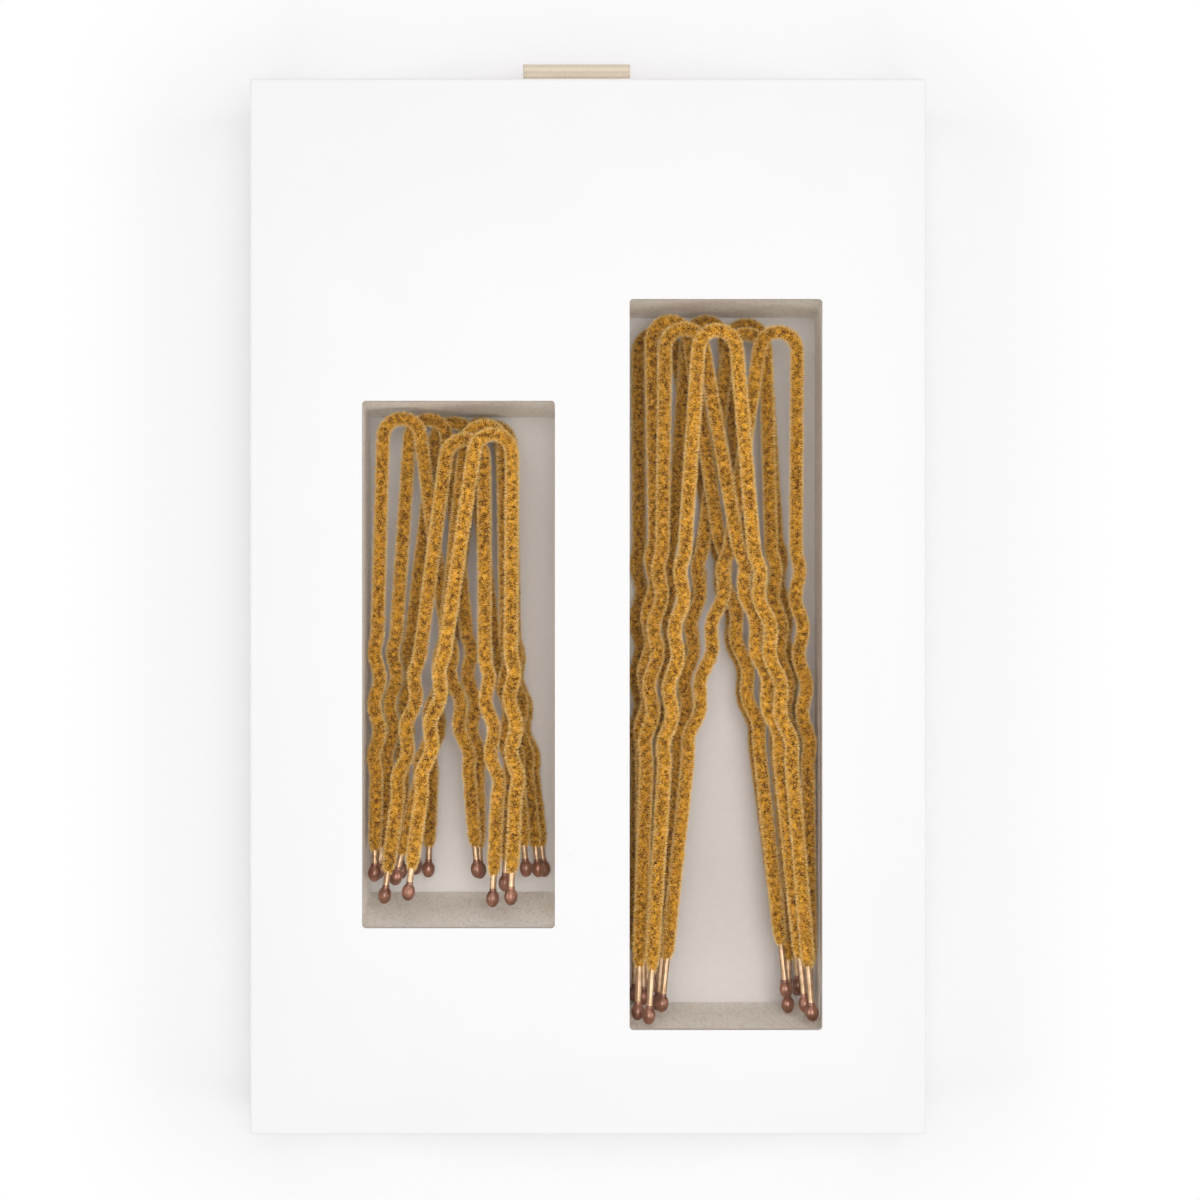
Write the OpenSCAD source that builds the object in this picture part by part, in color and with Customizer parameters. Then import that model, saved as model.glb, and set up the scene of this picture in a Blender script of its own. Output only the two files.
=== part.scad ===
// A slide box of flocked hairpins. A card tray slides in a card sleeve with two clear windows.
// A foam insert in the tray has a well of short hairpins and a well of long ones.
// The origin is the centre of the sleeve's underside, +Y points to the open end with the
// ribbon, and +Z points to the windows.

/* [Sleeve] */
// Thickness of the sleeve's card
card_t = 1; // [0.6:0.1:1.5]
// Card to the left of the short window
left_margin = 10.4; // [8:0.1:20]
// Card to the right of the long window
right_margin = 9.6; // [8:0.1:20]
// Card between the two windows
window_gap = 6.9; // [4:0.1:15]
// Card between the long window and the open end
head_margin = 20.4; // [12:0.1:40]
// Card between the long window and the closed end
foot_margin = 9.7; // [8:0.1:25]
// Width of each window
window_w = 17.8; // [16:0.1:30]
// Radius of the windows' corners
window_corner_r = 0.35; // [0.1:0.05:2]

/* [Window film] */
// Thickness of the clear film
film_t = 0.2; // [0.1:0.05:0.4]
// How far the film runs under the card round the windows
film_lap = 4; // [2:0.5:5]

/* [Tray] */
// Thickness of the tray's walls
tray_wall_t = 1; // [0.6:0.1:1.5]
// Thickness of the tray's floor
tray_floor_t = 1; // [0.6:0.1:1.5]
// Gap all round between the tray and the sleeve
slide_gap = 0.25; // [0.2:0.05:0.5]
// How far the tray's end wall sits inside the sleeve's open end
head_recess = 0.3; // [0:0.1:2]
// Height of the tray's rim above the insert
rim_h = 0.1; // [0:0.05:1]

/* [Foam insert] */
// Gap between the insert and the tray's walls
insert_gap = 0.1; // [0.05:0.05:0.4]
// How far a well's sides run under the card at each side of its window
well_side_lap = 0.4; // [0:0.1:1.5]
// How far a well's mouth runs under the card at each end of its window
well_end_lap = 0.3; // [0.2:0.1:1.5]
// How far the long well's head wall leans in at the floor
long_head_draft = 0.6; // [0:0.1:1]
// How far the long well's foot wall leans in at the floor
long_foot_draft = 0.8; // [0:0.1:1]
// How far the short well's head wall leans in at the floor
short_head_draft = 0.9; // [0:0.1:1]
// How far the short well's foot wall leans in at the floor
short_foot_draft = 2.2; // [0:0.1:3]
// Free height above the pile of hairpins
pile_room = 0.6; // [0.3:0.1:5]

/* [Ribbon pull] */
// Width of the ribbon
ribbon_w = 10.2; // [6:0.1:20]
// Thickness of one ply of the ribbon
ribbon_t = 0.3; // [0.15:0.05:0.5]
// How far the ribbon's loop reaches past the sleeve's open end
ribbon_out = 3; // [2:0.1:20]
// Offset of the ribbon from the middle of the sleeve
ribbon_shift = -1.1; // [-5:0.1:5]
// Inner diameter of the loop's eye
ribbon_eye_d = 1; // [0.6:0.1:2]
// Length of each tail that is glued to the tray's end wall
ribbon_tail = 5; // [2:0.5:6]
// Gap round the ribbon in its slot and its pocket
slot_gap = 0.2; // [0.1:0.05:0.5]

/* [Hairpins] */
// Diameter of the flock coat
coat_d = 1.45; // [1.3:0.05:1.7]
// Diameter of the wire
wire_d = 0.6; // [0.4:0.05:0.7]
// Gap all round the wire in its coat and in its beads
wire_gap = 0.02; // [0.01:0.01:0.04]
// Distance between the two legs at the bend, centre to centre
bend_w = 3.6; // [3:0.1:5]
// Diameter of a tip bead
bead_d = 1.25; // [1.1:0.05:1.35]
// Length of a tip bead
bead_l = 1.65; // [1.5:0.05:2]
// Height of the waves in the legs, from the middle line to a crest
wave_h = 0.28; // [0:0.02:0.4]
// Gap between one layer of the pile and the next
pile_gap = 0.05; // [0.02:0.01:0.2]

/* [Long hairpins] */
// Length over the coat and the beads
long_pin_l = 65.8; // [60:0.1:80]
// Length of the long window and well beyond the hairpin's own
long_play = 1.7; // [1.5:0.1:6]
// Distance from the top of the bend to the first wave
long_wave_start = 21.8; // [16:0.1:26]
// Length of one wave
long_wave_l = 5.5; // [4:0.1:6]
// Number of waves in each leg
long_waves = 3.5; // [2.5:1:4.5]
// Bare wire between the coat and a bead
long_neck_l = 3.5; // [1:0.1:6]

/* [Short hairpins] */
// Length over the coat and the beads
short_pin_l = 44.8; // [42:0.1:55]
// Length of the short window and well beyond the hairpin's own
short_play = 3.9; // [3.8:0.1:8]
// Distance from the top of the bend to the first wave
short_wave_start = 21.7; // [14:0.1:23]
// Length of one wave
short_wave_l = 5; // [4:0.1:5.5]
// Number of waves in each leg
short_waves = 2.5; // [1.5:1:2.5]
// Bare wire between the coat and a bead
short_neck_l = 1.4; // [1:0.1:4]

/* [Hidden] */
$fn = 48;
// Sides of a coat and of a wire. Each side of the wire spans two of the coat's.
coat_sides = 8;
wire_sides = coat_sides / 2;
// Rings along each wave, and steps round the bend
wave_rings = 4;
bend_steps = 6;
// Overrun of the cuts
cut = 0.5;

// Places of the hairpins in their pile, from the bottom layer to the top one. The first share
// is the middle of the bend, across the well from its left wall. The second is the gap between
// the window's head edge and the bend, as a share of the play. The next three are the left
// leg's first wave, last wave and bead across the well, and the last three are the right leg's.
long_pin_shares = [
    [0.17, 0.64, 0.08, 0.07, 0.055, 0.475, 0.68, 0.85],
    [0.635, 0.24, 0.41, 0.27, 0.15, 0.795, 0.9, 0.9],
    [0.42, 0.16, 0.25, 0.195, 0.115, 0.625, 0.78, 0.9],
    [0.63, 0.95, 0.4, 0.28, 0.17, 0.755, 0.865, 0.84],
    [0.235, 0.32, 0.155, 0.09, 0.095, 0.485, 0.685, 0.825],
    [0.78, 0.99, 0.53, 0.325, 0.19, 0.87, 0.93, 0.945],
    [0.3, 0.91, 0.19, 0.11, 0.065, 0.575, 0.78, 0.91],
    [0.465, 1.07, 0.3, 0.2, 0.12, 0.65, 0.835, 0.94],
];
short_pin_shares = [
    [0.64, 0.19, 0.43, 0.31, 0.24, 0.755, 0.85, 0.91],
    [0.59, 0.15, 0.4, 0.33, 0.31, 0.745, 0.82, 0.88],
    [0.445, 0.15, 0.225, 0.185, 0.175, 0.655, 0.775, 0.82],
    [0.32, 0.1, 0.155, 0.115, 0.065, 0.52, 0.575, 0.585],
    [0.19, 0.1, 0.065, 0.06, 0.05, 0.42, 0.53, 0.575],
    [0.615, 0.3, 0.41, 0.29, 0.165, 0.725, 0.735, 0.72],
    [0.52, 0.65, 0.29, 0.185, 0.115, 0.62, 0.685, 0.66],
    [0.665, 0.55, 0.42, 0.31, 0.24, 0.755, 0.78, 0.755],
];
pin_count = len(long_pin_shares);

long_window_l = long_pin_l + long_play;
short_window_l = short_pin_l + short_play;
sleeve_w = left_margin + window_w + window_gap + window_w + right_margin;
sleeve_l = head_margin + long_window_l + foot_margin;

// Heights, from the sleeve's underside upwards
layer_h = coat_d + pile_gap;
tray_z = card_t + slide_gap;
well_z = tray_z + tray_floor_t;
insert_h = pin_count * layer_h + pile_room;
tray_h = tray_floor_t + insert_h + rim_h;
film_z = tray_z + tray_h + slide_gap;
sleeve_h = film_z + film_t + card_t;
ribbon_z = tray_z + tray_h / 2;

// Lines across the sleeve and along it
short_left = left_margin - sleeve_w / 2;
long_left = short_left + window_w + window_gap;
head_end = sleeve_l / 2;
window_mid = head_end - head_margin - long_window_l / 2;
tray_w = sleeve_w - 2 * (card_t + slide_gap);
tray_head = head_end - head_recess;
tray_foot = card_t + slide_gap - head_end;
tray_l = tray_head - tray_foot;
wall_inside = tray_head - tray_wall_t;
well_w = window_w + 2 * well_side_lap;

// A rectangle with round corners, from its lower left corner
module round_rectangle(w, l, r) {
    translate([r, 0]) square([w - 2 * r, l]);
    translate([0, r]) square([w, l - 2 * r]);
    for (x = [r, w - r], y = [r, l - r]) translate([x, y]) circle(r);
}

// A window through the sleeve's face, with its left edge at x
module window_cut(x, l) {
    translate([x, window_mid - l / 2, film_z + film_t - cut])
        linear_extrude(card_t + 2 * cut) round_rectangle(window_w, l, window_corner_r);
}

// The sleeve: a card case, closed at the foot and open at the head
module sleeve() {
    color("white") difference() {
        translate([-sleeve_w / 2, -head_end, 0]) cube([sleeve_w, sleeve_l, sleeve_h]);
        translate([card_t - sleeve_w / 2, card_t - head_end, card_t])
            cube([sleeve_w - 2 * card_t, sleeve_l, sleeve_h - 2 * card_t]);
        window_cut(short_left, short_window_l);
        window_cut(long_left, long_window_l);
    }
}

// The clear film, glued to the inner side of the sleeve's face
module window_film() {
    w = 2 * window_w + window_gap + 2 * film_lap;
    l = max(long_window_l, short_window_l) + 2 * film_lap;
    color([0.9, 0.95, 1, 0.3])
        translate([short_left - film_lap, window_mid - l / 2, film_z]) cube([w, l, film_t]);
}

// The tray: a floor and four walls, with a slot for the ribbon in the head wall
module tray() {
    inner_w = tray_w - 2 * tray_wall_t;
    slot_h = 2 * (ribbon_t + slot_gap);
    color("snow") difference() {
        translate([-tray_w / 2, tray_foot, tray_z]) cube([tray_w, tray_l, tray_h]);
        translate([-inner_w / 2, tray_foot + tray_wall_t, well_z])
            cube([inner_w, tray_l - 2 * tray_wall_t, tray_h]);
        translate([ribbon_shift - ribbon_w / 2 - slot_gap, wall_inside - cut, ribbon_z - slot_h / 2])
            cube([ribbon_w + 2 * slot_gap, tray_wall_t + 2 * cut, slot_h]);
    }
}

// A well through the insert. Its end walls lean in towards the floor.
module well_cut(window_x, window_l, head_draft, foot_draft) {
    mouth = window_l / 2 + well_end_lap;
    head_slope = head_draft / insert_h;
    foot_slope = foot_draft / insert_h;
    translate([window_x - well_side_lap, window_mid, 0]) rotate([90, 0, 90]) linear_extrude(well_w)
        polygon([
            [foot_draft + cut * foot_slope - mouth, well_z - cut],
            [mouth - head_draft - cut * head_slope, well_z - cut],
            [mouth + cut * head_slope, well_z + insert_h + cut],
            [-mouth - cut * foot_slope, well_z + insert_h + cut],
        ]);
}

// The foam insert: a block with two wells, and a shallow pocket for the ribbon's tails
module foam_insert() {
    w = tray_w - 2 * (tray_wall_t + insert_gap);
    l = tray_l - 2 * (tray_wall_t + insert_gap);
    pocket_h = 2 * (ribbon_tail + slot_gap);
    pocket_d = ribbon_t + slot_gap;
    color("tan") difference() {
        translate([-w / 2, tray_foot + tray_wall_t + insert_gap, well_z]) cube([w, l, insert_h]);
        well_cut(short_left, short_window_l, short_head_draft, short_foot_draft);
        well_cut(long_left, long_window_l, long_head_draft, long_foot_draft);
        translate([ribbon_shift - ribbon_w / 2 - slot_gap, wall_inside - pocket_d, ribbon_z - pocket_h / 2])
            cube([ribbon_w + 2 * slot_gap, pocket_d + cut, pocket_h]);
    }
}

// The ribbon pull: a loop through the slot, with its tails glued up and down the end wall
module ribbon_pull() {
    eye_r = ribbon_eye_d / 2 + ribbon_t;
    eye_y = head_end + ribbon_out - eye_r;
    color("wheat") translate([ribbon_shift - ribbon_w / 2, 0, ribbon_z]) rotate([90, 0, 90])
        linear_extrude(ribbon_w) {
            difference() {
                union() {
                    translate([wall_inside - ribbon_t, -ribbon_t])
                        square([eye_y - wall_inside + ribbon_t, 2 * ribbon_t]);
                    translate([eye_y, 0]) circle(eye_r);
                }
                translate([eye_y, 0]) circle(ribbon_eye_d / 2);
            }
            translate([wall_inside - ribbon_t, -ribbon_tail]) square([ribbon_t, 2 * ribbon_tail]);
        }
}

// Points and frames along a hairpin, in a plane
function unit(v) = v / norm(v);
function between(a, b, share) = a + (b - a) * share;
function right_of(v) = [-v.y, v.x];
function reversed(list) = [for (i = [len(list) - 1 : -1 : 0]) list[i]];
// The end of a straight run of length l that starts at p and ends at x
function run_end(p, x, l) = [x, p.y - sqrt(l * l - (x - p.x) * (x - p.x))];

// A leg from the bend down: a plain run, the waves, and a plain run of the length foot_run
function leg_points(start, xs, hand, upper_run, wave_l, waves, full_run, foot_run) =
    let (first = run_end(start, xs[0], upper_run),
         last = run_end(first, xs[1], waves * wave_l),
         foot = run_end(last, xs[2], full_run),
         out = hand * wave_h * right_of(unit(last - first)),
         steps = waves * wave_rings)
    concat(
        [start],
        [for (i = [0 : steps]) between(first, last, i / steps) + out * sin(360 * i / wave_rings)],
        [between(last, foot, foot_run / full_run)]
    );

// The middle line of a hairpin from one foot over the bend to the other. x runs from the
// well's left wall, y from the window's head edge. foot_run ends it at the coat or at the bead.
function pin_line(shares, pin_l, play, wave_start, wave_l, waves, foot_run) =
    let (bend_r = bend_w / 2,
         bend_top = coat_d / 2 + bend_r,
         mid = [shares[0] * well_w, -shares[1] * play - bend_top],
         xs = [for (i = [2 : 7]) shares[i] * well_w],
         upper_run = wave_start - bend_top,
         full_run = pin_l - wave_start - waves * wave_l - bead_l / 2,
         left = leg_points(mid - [bend_r, 0], [xs[0], xs[1], xs[2]], -1,
                           upper_run, wave_l, waves, full_run, full_run - foot_run),
         right = leg_points(mid + [bend_r, 0], [xs[3], xs[4], xs[5]], 1,
                            upper_run, wave_l, waves, full_run, full_run - foot_run))
    concat(
        reversed(left),
        [for (i = [1 : bend_steps - 1])
            let (a = 180 - 180 * i / bend_steps) mid + bend_r * [cos(a), sin(a)]],
        right
    );
function long_line(k, foot_run) = pin_line(long_pin_shares[k - 1], long_pin_l, long_play,
    long_wave_start, long_wave_l, long_waves, foot_run);
function short_line(k, foot_run) = pin_line(short_pin_shares[k - 1], short_pin_l, short_play,
    short_wave_start, short_wave_l, short_waves, foot_run);

// The rings of a tube round a line, one ring at each point, square to the line
function heading(line, i) = unit(line[min(i + 1, len(line) - 1)] - line[max(i - 1, 0)]);
function rings(line, r, sides) = [
    for (i = [0 : len(line) - 1], j = [0 : sides - 1])
        let (side = right_of(heading(line, i)), a = 180 / coat_sides + 360 * j / sides)
        [line[i].x + r * cos(a) * side.x, line[i].y + r * cos(a) * side.y, r * sin(a)]
];
function wall_faces(count, sides, start) = [
    for (i = [0 : count - 2], j = [0 : sides - 1])
        let (a = start + i * sides, b = a + sides, n = (j + 1) % sides)
        [a + j, a + n, b + n, b + j]
];
function flipped(faces) = [for (face = faces) reversed(face)];

// A solid rod along a line
module rod(line, r, sides) {
    count = len(line);
    first = [for (j = [0 : sides - 1]) j];
    polyhedron(
        points = rings(line, r, sides),
        faces = concat([reversed(first)], wall_faces(count, sides, 0),
                       [[for (j = first) j + (count - 1) * sides]])
    );
}

// A tube along a line. The bore has half as many sides as the outside.
module tube(line, r, bore_r) {
    count = len(line);
    bore_start = count * coat_sides;
    end_faces = function (outer, inner) [for (k = [0 : wire_sides - 1]) [
        outer + 2 * k, outer + 2 * k + 1, outer + (2 * k + 2) % coat_sides,
        inner + (k + 1) % wire_sides, inner + k
    ]];
    polyhedron(
        points = concat(rings(line, r, coat_sides), rings(line, bore_r, wire_sides)),
        faces = concat(
            wall_faces(count, coat_sides, 0),
            flipped(wall_faces(count, wire_sides, bore_start)),
            flipped(end_faces(0, bore_start)),
            end_faces((count - 1) * coat_sides, bore_start + (count - 1) * wire_sides)
        )
    );
}

// A tip bead at the end of a line, with a blind bore for the wire
module bead(end, before) {
    way = before - end;
    swell = (bead_l - bead_d) / 2;
    translate([end.x, end.y, 0]) rotate([0, 90, atan2(way.y, way.x)]) difference() {
        rotate_extrude() intersection() {
            union() {
                for (z = [-swell, swell]) translate([0, z]) circle(bead_d / 2);
                square([bead_d, 2 * swell], center = true);
            }
            translate([0, -bead_l / 2]) square([bead_d, bead_l]);
        }
        translate([0, 0, -wire_gap]) cylinder(bead_l, d = wire_d + 2 * wire_gap);
    }
}

// Puts a hairpin's piece in its well, at layer k of the pile
module in_well(window_x, window_l, k) {
    translate([window_x - well_side_lap, window_mid + window_l / 2,
               well_z + pile_gap + coat_d / 2 + (k - 1) * layer_h]) children();
}
module in_long_well(k) in_well(long_left, long_window_l, k) children();
module in_short_well(k) in_well(short_left, short_window_l, k) children();

// The three pieces of a hairpin: a wire, its flock coat and the pair of beads
module wire(line) color("peru") rod(line, wire_d / 2, wire_sides);
module coat(line) color("goldenrod") tube(line, coat_d / 2, wire_d / 2 + wire_gap);
module tips(line) {
    last = len(line) - 1;
    color("saddlebrown") {
        bead(line[0], line[1]);
        bead(line[last], line[last - 1]);
    }
}

module long_wire(k) in_long_well(k) wire(long_line(k, 0));
module long_coat(k) in_long_well(k) coat(long_line(k, long_neck_l + bead_l / 2));
module long_tips(k) in_long_well(k) tips(long_line(k, 0));
module short_wire(k) in_short_well(k) wire(short_line(k, 0));
module short_coat(k) in_short_well(k) coat(short_line(k, short_neck_l + bead_l / 2));
module short_tips(k) in_short_well(k) tips(short_line(k, 0));

sleeve();
window_film();
tray();
foam_insert();
ribbon_pull();
for (k = [1 : pin_count]) {
    long_wire(k);
    long_coat(k);
    long_tips(k);
    short_wire(k);
    short_coat(k);
    short_tips(k);
}
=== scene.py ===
"""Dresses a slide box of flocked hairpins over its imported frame."""
import logging
import math
from abc import ABC, abstractmethod
from collections.abc import Callable, Sequence
from dataclasses import dataclass, field
from enum import Enum
from functools import cache
from typing import TypeAlias

import bmesh
import bpy
import numpy as np
from mathutils import Matrix, Vector, noise


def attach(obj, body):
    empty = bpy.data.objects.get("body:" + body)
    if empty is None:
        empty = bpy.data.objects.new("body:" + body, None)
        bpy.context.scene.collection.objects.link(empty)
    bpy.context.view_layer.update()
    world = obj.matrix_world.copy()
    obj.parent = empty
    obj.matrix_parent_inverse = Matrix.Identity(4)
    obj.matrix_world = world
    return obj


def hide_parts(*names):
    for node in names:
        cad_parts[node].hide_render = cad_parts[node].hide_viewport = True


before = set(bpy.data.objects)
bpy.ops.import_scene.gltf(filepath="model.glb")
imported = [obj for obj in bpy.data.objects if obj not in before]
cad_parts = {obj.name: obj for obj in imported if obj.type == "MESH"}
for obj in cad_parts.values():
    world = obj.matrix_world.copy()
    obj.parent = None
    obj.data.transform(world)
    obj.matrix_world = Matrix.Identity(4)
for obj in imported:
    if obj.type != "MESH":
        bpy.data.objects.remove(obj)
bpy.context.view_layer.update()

log = logging.getLogger("hairpins")
MM = 0.001
PHOTO_PX = 1200
# In millimetres: how far a cutter stands out of its piece, and what counts as one point.
OVERSHOOT = 1.0
WELD = 1e-5
Colour: TypeAlias = tuple[float, float, float]
Point: TypeAlias = tuple[float, float, float]
Value: TypeAlias = "Signal | float"
WHITE: Colour = (1.0, 1.0, 1.0)


class Body(Enum):
    """The two bodies of the frame."""

    SLEEVE = "sleeve_body"
    TRAY = "tray_body"


class Size(Enum):
    """The two sizes of hairpin."""

    LONG = "long"
    SHORT = "short"


class Slot(Enum):
    """The record's finishes."""

    SLEEVE = "sleeve_card"
    FILM = "clear_film"
    TRAY = "tray_card"
    FOAM = "beige_foam"
    RIBBON = "beige_ribbon"
    WIRE = "bronze_wire"
    FLOCK = "golden_flock"
    TIPS = "tip_enamel"


# Node trees


def by_math(operation: str) -> Callable[..., "Signal"]:
    """A method that works out one operation of the Math node.

    Args:
        operation: The operation.

    Returns:
        The method, which takes the signal and any other values.
    """
    def method(self: "Signal", *others: Value) -> "Signal":
        """The operation's result."""
        sockets = dict(enumerate((self, *others)))
        return self.mix.add("ShaderNodeMath", {"operation": operation}, sockets)

    return method


class Signal:
    """One output of a node, with Python's operators as Math nodes."""

    def __init__(self, mix: "Recipe", socket: bpy.types.NodeSocket) -> None:
        """Wraps a socket.

        Args:
            mix: The recipe that the socket belongs to.
            socket: The output socket.
        """
        self.mix = mix
        self.socket = socket

    __add__ = __radd__ = by_math("ADD")
    __sub__ = by_math("SUBTRACT")
    __mul__ = __rmul__ = by_math("MULTIPLY")
    __truediv__ = by_math("DIVIDE")
    __pow__ = by_math("POWER")
    __abs__ = by_math("ABSOLUTE")
    __gt__ = by_math("GREATER_THAN")
    __lt__ = by_math("LESS_THAN")
    at_least = by_math("MAXIMUM")
    sine = by_math("SINE")

    def __rsub__(self, other: float) -> "Signal":
        """Other less self."""
        return self * -1.0 + other

    def beside(self, output: str | int) -> "Signal":
        """Another output of the same node."""
        return Signal(self.mix, self.socket.node.outputs[output])

    def eased(self, low: float, high: float) -> "Signal":
        """A smooth step.

        Args:
            low: Where the step starts, at 0.
            high: Where it ends, at 1.

        Returns:
            The stepped value.
        """
        return self.mix.add(
            "ShaderNodeMapRange",
            {"interpolation_type": "SMOOTHSTEP"},
            {"Value": self, "From Min": low, "From Max": high, "To Min": 0.0, "To Max": 1.0},
        )


class Recipe:
    """A node tree: of a material, of the world or of geometry nodes."""

    def __init__(self, tree: bpy.types.NodeTree) -> None:
        """Empties a tree.

        Args:
            tree: The tree that is written.
        """
        self.tree = tree
        tree.nodes.clear()

    def add(
        self,
        kind: str,
        settings: dict[str, object] | None = None,
        sockets: dict[str | int, object] | None = None,
        out: str | int = 0,
    ) -> Signal:
        """Adds one node.

        Args:
            kind: The node's type.
            settings: Its own settings. "stops" are a ramp's places and colours.
            sockets: A value or a signal for each socket, by name or place.
            out: The output that is wanted.

        Returns:
            That output.
        """
        node = self.tree.nodes.new(kind)
        for key, value in (settings or {}).items():
            if key == "stops":
                ramp = node.color_ramp.elements
                for i, (place, colour) in enumerate(value):
                    stop = ramp[i] if i < 2 else ramp.new(place)
                    stop.position = place
                    stop.color = (*colour, 1.0)
            else:
                setattr(node, key, value)
        for key, value in (sockets or {}).items():
            socket = node.inputs[key]
            if isinstance(value, Signal):
                self.tree.links.new(value.socket, socket)
            elif socket.type == "RGBA" and len(value) == 3:
                socket.default_value = (*value, 1.0)
            else:
                socket.default_value = value
        return Signal(self, node.outputs[out] if node.outputs else None)

    def place(self) -> Signal:
        """The place on the piece in millimetres."""
        coords = self.add("ShaderNodeTexCoord", out="Object")
        return self.stretch(coords, (1 / MM, 1 / MM, 1 / MM))

    def stretch(self, vector: Signal, by: Point) -> Signal:
        """A vector with each of its parts multiplied by one of three factors."""
        return self.add("ShaderNodeVectorMath", {"operation": "MULTIPLY"}, {0: vector, 1: by})

    def parts(self, vector: Signal) -> tuple[Signal, Signal, Signal]:
        """The x, y and z of a vector."""
        first = self.add("ShaderNodeSeparateXYZ", sockets={0: vector})
        return first, first.beside(1), first.beside(2)

    def cloud(
        self, vector: Signal, scale: float, detail: float = 2.0, rough: float = 0.5
    ) -> Signal:
        """Cloudy noise from 0 to 1.

        Args:
            vector: Where it is read.
            scale: Clouds in each unit of the vector.
            detail: Octaves.
            rough: How strong the finer octaves are.

        Returns:
            The noise.
        """
        return self.add(
            "ShaderNodeTexNoise",
            sockets={"Vector": vector, "Scale": scale, "Detail": detail, "Roughness": rough},
        )

    def cells(self, vector: Signal, scale: float, out: str = "Distance") -> Signal:
        """Voronoi cells.

        Args:
            vector: Where they are read.
            scale: Cells in each unit of the vector.
            out: "Distance" to the nearest seed or the cell's "Color".

        Returns:
            That output.
        """
        sockets = {"Vector": vector, "Scale": scale}
        return self.add("ShaderNodeTexVoronoi", sockets=sockets, out=out)

    def specks(self, vector: Signal, cell: float, reach: float, bare: float) -> Signal:
        """Round specks, each in a cell of its own.

        Args:
            vector: Where they are read.
            cell: A cell's width in units of the vector.
            reach: A speck's radius as a share of its cell.
            bare: The share of the cells that have none.

        Returns:
            1 on a speck, else 0.
        """
        lot = self.add(
            "ShaderNodeSeparateColor", sockets={0: self.cells(vector, 1 / cell, "Color")}
        )
        return (self.cells(vector, 1 / cell) < reach) * (lot > bare)

    def wave(self, along: Signal, length: float) -> Signal:
        """Humps from 0 to 1 of a given length along a value."""
        return abs((along * math.pi / length).sine())

    def ramp(self, value: Signal, *stops: tuple[float, Colour]) -> Signal:
        """A colour that follows a value through the places and colours of its stops."""
        return self.add("ShaderNodeValToRGB", {"stops": stops}, {0: value})

    def blend(self, share: Signal, first: Signal, second: Signal | Colour) -> Signal:
        """A mix of two colours.

        Args:
            share: 0 for the first colour and 1 for the second.
            first: One colour.
            second: The other.

        Returns:
            The mixed colour.
        """
        return self.add(
            "ShaderNodeMix", {"data_type": "RGBA"}, {0: share, 6: first, 7: second}, out=2
        )

    def bump(self, height: Signal, depth: float, before: Signal | None = None) -> Signal:
        """A bumped normal.

        Args:
            height: The relief, from 0 to 1.
            depth: Its depth in millimetres.
            before: A normal that is bumped further.

        Returns:
            The normal.
        """
        sockets: dict[str | int, object] = {"Height": height, "Distance": depth * MM}
        if before is not None:
            sockets["Normal"] = before
        return self.add("ShaderNodeBump", sockets=sockets)

    def surface(self, **values: object) -> Signal:
        """The principled shader, with _ for each blank in the names of its sockets."""
        named = {key.replace("_", " "): value for key, value in values.items()}
        return self.add("ShaderNodeBsdfPrincipled", sockets=named)

    def seen(self) -> Signal:
        """1 where the camera looks straight, in a gloss or through glass, else 0."""
        path = self.add("ShaderNodeLightPath", out="Is Camera Ray")
        return path.at_least(path.beside("Is Glossy Ray")).at_least(
            path.beside("Is Transmission Ray")
        )

    def close(self, shader: Signal, output: str = "ShaderNodeOutputMaterial") -> None:
        """Joins a shader to the tree's output."""
        self.add(output, sockets={"Surface": shader})


def dimmed(colour: Colour, share: float) -> Colour:
    """A colour times a share."""
    return (colour[0] * share, colour[1] * share, colour[2] * share)


# Finishes


class Finish(ABC):
    """A finish, which gives its shader and is mixed into a material."""

    name: str

    @abstractmethod
    def shader(self, mix: Recipe) -> Signal:
        """Writes the finish's shader in a recipe and returns it."""

    def mix(self) -> bpy.types.Material:
        """Mixes the material.

        Returns:
            The material.
        """
        material = bpy.data.materials.new(self.name)
        material.use_nodes = True
        mix = Recipe(material.node_tree)
        mix.close(self.shader(mix))
        return material


@dataclass(frozen=True)
class CoatedCard(Finish):
    """Smooth white card with a satin coat and a few specks of dust."""

    name: str = "coated_card"
    white: Colour = (0.815, 0.806, 0.808)
    dimmest: float = 0.988
    speck: Colour = (0.72, 0.7, 0.69)
    speck_cell: float = 7.0
    speck_r: float = 0.11
    clouds_a_mm: float = 0.12
    fibres_a_mm: float = 9.0

    def shader(self, mix: Recipe) -> Signal:
        """Writes the card's shader.

        Args:
            mix: The recipe.

        Returns:
            The shader.
        """
        place = mix.place()
        tone = mix.cloud(place, self.clouds_a_mm, 3.0)
        fibre = mix.cloud(place, self.fibres_a_mm, 3.0, 0.6)
        dusty = mix.specks(place, self.speck_cell, self.speck_r / self.speck_cell, bare=0.6)
        dim = dimmed(self.white, self.dimmest)
        paper = mix.ramp(tone * 0.7 + fibre * 0.3, (0.3, dim), (0.7, self.white))
        return mix.surface(
            Base_Color=mix.blend(dusty * 0.7, paper, self.speck),
            Roughness=0.42 + fibre * 0.12,
            Normal=mix.bump(fibre, 0.006),
            Specular_IOR_Level=0.4,
        )


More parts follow.
